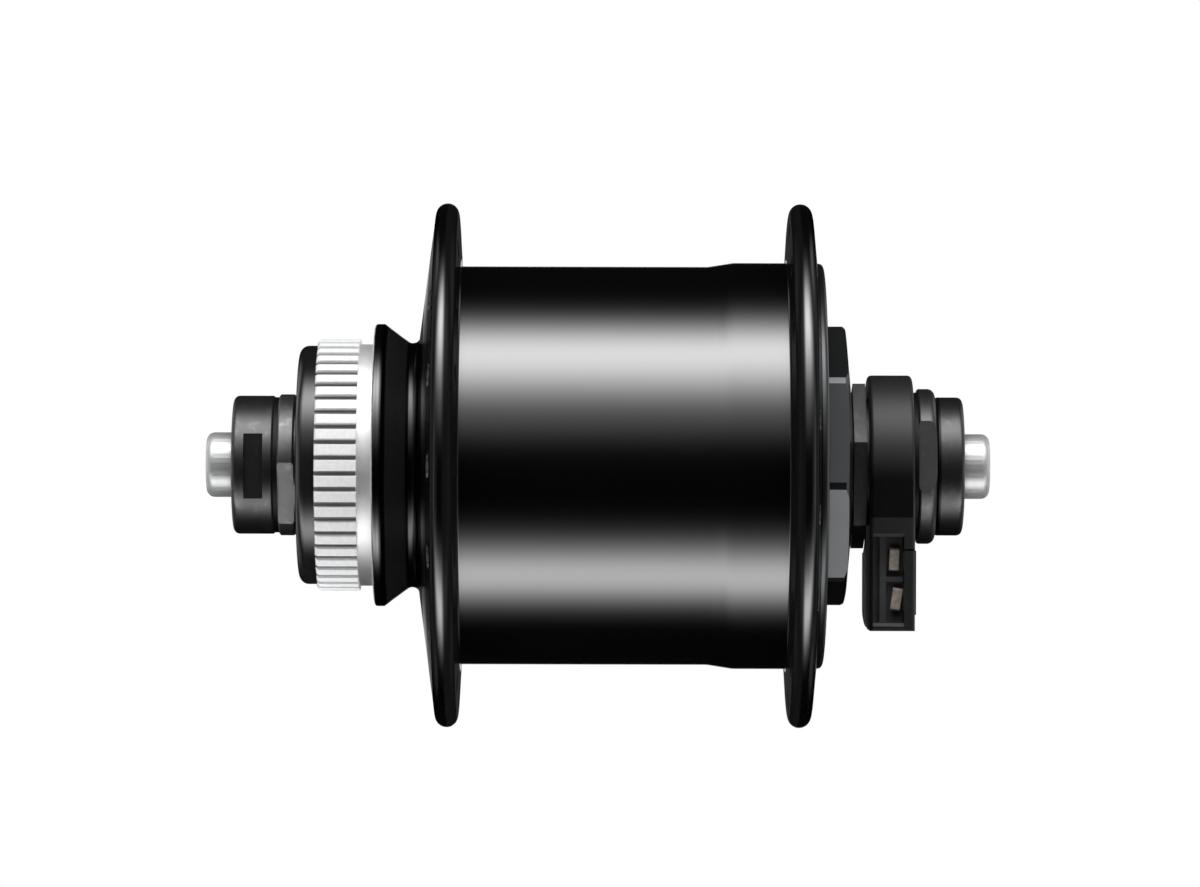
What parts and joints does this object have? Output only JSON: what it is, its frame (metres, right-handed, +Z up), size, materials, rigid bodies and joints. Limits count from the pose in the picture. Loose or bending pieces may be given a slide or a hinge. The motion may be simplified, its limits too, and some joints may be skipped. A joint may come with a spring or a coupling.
{
  "type": "hub dynamo",
  "caption": "Front bicycle hub with a built-in generator: flanged drum for spokes, splined brake disc mount, hollow quick-release axle and a plug connector at one end.",
  "frame": {"origin": "on the axle's centre line, midway between the two faces that the fork clamps", "axes": "+Y along the axle towards the brake disc side, +Z up, the cable connector hangs down at the -Y end and its socket opens towards -X"},
  "size_m": [0.072, 0.1076, 0.072],
  "materials": {
    "black_shell": "gloss black with a bare machined spline",
    "black_cover": "satin black",
    "black_steel": "satin black, blackened steel",
    "bare_steel": "polished bare steel",
    "bearing_steel": "ground and polished",
    "soft_iron": "plated soft iron",
    "magnet": "dull sintered grey",
    "copper": "enamelled wire",
    "contact_metal": "plated spring metal",
    "connector_plastic": "satin moulded plastic",
    "bobbin_plastic": "moulded plastic",
    "cage_plastic": "moulded plastic",
    "lead_sleeve": "insulating sleeve",
    "seal_rubber": "moulded rubber"
  },
  "bodies": {
    "axle_assembly": {"axle": "bare_steel", "disc_side_cone": "black_steel", "disc_side_cone_seal": "seal_rubber", "disc_side_washer": "black_steel", "disc_side_locknut": "black_steel", "stator_core": "soft_iron", "disc_side_claw_yoke": "soft_iron", "wire_side_claw_yoke": "soft_iron", "coil_bobbin": "bobbin_plastic", "coil_winding": "copper", "disc_side_stator_nut": "bare_steel", "wire_side_stator_nut": "bare_steel", "bearing_spacer": "bare_steel", "wire_side_inner_race": "bearing_steel", "hex_nut": "black_steel", "connector_housing": "connector_plastic", "upper_contact": "contact_metal", "lower_contact": "contact_metal", "coil_leads": "lead_sleeve", "wire_side_washer": "black_steel", "round_nut": "black_steel", "wire_side_locknut": "black_steel"},
    "rotor": {"hub_shell": "black_shell", "side_cover": "black_cover", "cover_o_ring": "seal_rubber", "iron_ring": "soft_iron", "magnets": "magnet", "disc_side_cup": "bearing_steel", "disc_side_dust_cap": "black_cover", "wire_side_outer_race": "bearing_steel", "wire_side_shields": "black_steel", "wire_side_seal": "seal_rubber"},
    "disc_side_ball_set": {"disc_side_balls": "bearing_steel", "disc_side_ball_cage": "cage_plastic"},
    "wire_side_ball_set": {"wire_side_balls": "bearing_steel", "wire_side_ball_cage": "cage_plastic"}
  },
  "joints": [
    {"name": "rotor_spin", "type": "hinge", "parent": "axle_assembly", "child": "rotor", "pos_m": [0, 0, 0], "axis": [0, 1, 0], "continuous": true},
    {"name": "disc_side_ball_orbit", "type": "hinge", "parent": "axle_assembly", "child": "disc_side_ball_set", "pos_m": [0, 0, 0], "axis": [0, 1, 0], "continuous": true},
    {"name": "wire_side_ball_orbit", "type": "hinge", "parent": "axle_assembly", "child": "wire_side_ball_set", "pos_m": [0, 0, 0], "axis": [0, 1, 0], "continuous": true}
  ],
  "couplings": [
    {"joint": "disc_side_ball_orbit", "follows": "rotor_spin", "ratio": 0.5915},
    {"joint": "wire_side_ball_orbit", "follows": "rotor_spin", "ratio": 0.6294}
  ]
}
